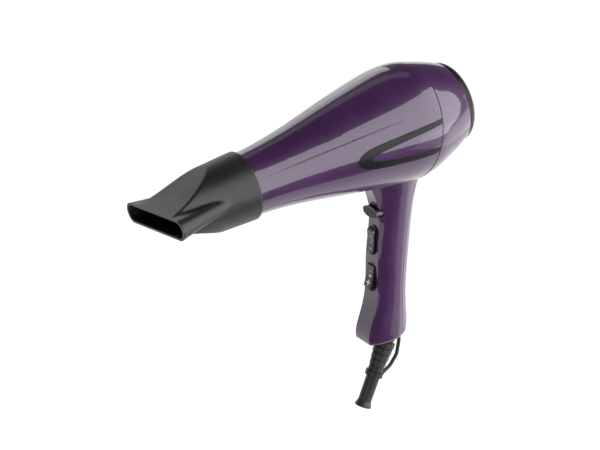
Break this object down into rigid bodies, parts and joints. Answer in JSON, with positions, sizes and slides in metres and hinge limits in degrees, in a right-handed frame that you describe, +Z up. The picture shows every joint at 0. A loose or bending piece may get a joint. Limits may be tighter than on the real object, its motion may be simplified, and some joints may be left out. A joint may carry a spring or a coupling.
{
  "type": "hair dryer",
  "caption": "Hand-held hair dryer: a tapered barrel with a wide flat concentrator nozzle, a handle with rocker switches and a cool-shot button, and a pull-off rear grille.",
  "frame": {"origin": "on the barrel's axis, at the rear edge of the concentrator nozzle, which is the collar that attachments push on to", "axes": "+X along the barrel, the way the air blows; +Z up, away from the handle; +Y the dryer's left side"},
  "size_m": [0.2712, 0.0916, 0.2779],
  "materials": {
    "casing_purple": "gloss deep purple lacquered plastic",
    "nozzle_black": "satin black moulded plastic with a fine grain",
    "trim_black": "satin black moulded plastic",
    "control_black": "semi-gloss black plastic",
    "heat_black": "matt heat-resistant plastic",
    "rubber_black": "soft black rubber",
    "mica": "flaky mica board",
    "resistance_wire": "bare resistance wire",
    "steel": "bright steel",
    "filter_steel": "fine woven steel mesh",
    "magnet": "ferrite magnet",
    "laminations": "stacked steel laminations",
    "copper": "enamelled copper wire",
    "bronze": "sintered bronze",
    "carbon": "carbon brush",
    "fan_plastic": "glass-filled black plastic",
    "board_green": "green circuit board with black diodes",
    "terminal_white": "white nylon",
    "ceramic": "white ceramic",
    "lead_sheath": "silicone-sheathed wire"
  },
  "bodies": {
    "housing": {"main_housing": "casing_purple", "rear_cover": "casing_purple", "handle_back_cover": "casing_purple", "side_trim_left": "trim_black", "side_trim_right": "trim_black", "outlet_collar": "heat_black", "outlet_grille": "heat_black", "mica_sleeve": "mica", "mica_board_upright": "mica", "mica_board_level": "mica", "heating_coil": "resistance_wire", "thermostat": "ceramic", "thermal_fuse": "steel", "air_guide": "heat_black", "motor_mount": "heat_black", "motor_damper_rings": "rubber_black", "motor_can": "steel", "motor_end_cap": "heat_black", "motor_magnets": "magnet", "motor_bush_rear": "bronze", "motor_bush_front": "bronze", "motor_brushes": "carbon", "rectifier_board": "board_green", "heat_switch_body": "control_black", "speed_switch_body": "control_black", "rocker_pins": "steel", "switch_terminals": "bronze", "cool_shot_bracket": "heat_black", "cool_shot_spring": "steel", "cool_shot_microswitch": "control_black", "strain_relief": "rubber_black", "hanging_loop": "rubber_black", "cord_clamp": "terminal_white", "cord_clamp_screws": "steel", "terminal_block": "terminal_white", "handle_cover_screws": "steel", "internal_leads": "lead_sheath"},
    "rotor": {"motor_shaft": "steel", "rotor_core": "laminations", "rotor_windings": "copper", "commutator": "copper", "fan": "fan_plastic"},
    "nozzle_ring": {"nozzle_snap_ring": "steel"},
    "nozzle": {"concentrator_nozzle": "nozzle_black"},
    "grille": {"rear_grille": "trim_black", "filter_mesh": "filter_steel", "filter_clip_ring": "trim_black"},
    "heat_rocker": {"heat_rocker": "control_black"},
    "speed_rocker": {"speed_rocker": "control_black"},
    "cool_button": {"cool_shot_button": "control_black"}
  },
  "joints": [
    {"name": "fan_spin", "type": "hinge", "parent": "housing", "child": "rotor", "pos_m": [-0.15, 0, 0], "axis": [1, 0, 0], "continuous": true},
    {"name": "nozzle_turn", "type": "hinge", "parent": "housing", "child": "nozzle_ring", "pos_m": [0.011, 0, 0], "axis": [1, 0, 0], "continuous": true},
    {"name": "nozzle_pull", "type": "slide", "parent": "nozzle_ring", "child": "nozzle", "axis": [1, 0, 0], "range_m": [0, 0.045]},
    {"name": "rear_grille_pull", "type": "slide", "parent": "housing", "child": "grille", "axis": [-1, 0, 0], "range_m": [0, 0.03]},
    {"name": "heat_rocker_tilt", "type": "hinge", "parent": "housing", "child": "heat_rocker", "pos_m": [-0.10947, 0, -0.08961], "axis": [0, 1, 0], "range_deg": [-10, 10]},
    {"name": "speed_rocker_tilt", "type": "hinge", "parent": "housing", "child": "speed_rocker", "pos_m": [-0.10401, 0, -0.11991], "axis": [0, 1, 0], "range_deg": [0, 20]},
    {"name": "cool_shot_press", "type": "slide", "parent": "housing", "child": "cool_button", "axis": [-0.9848, 0, -0.1736], "range_m": [0, 0.0025], "stiffness_N_per_m": 400, "springref_m": -0.0008, "deforming": ["cool_shot_spring"]}
  ]
}
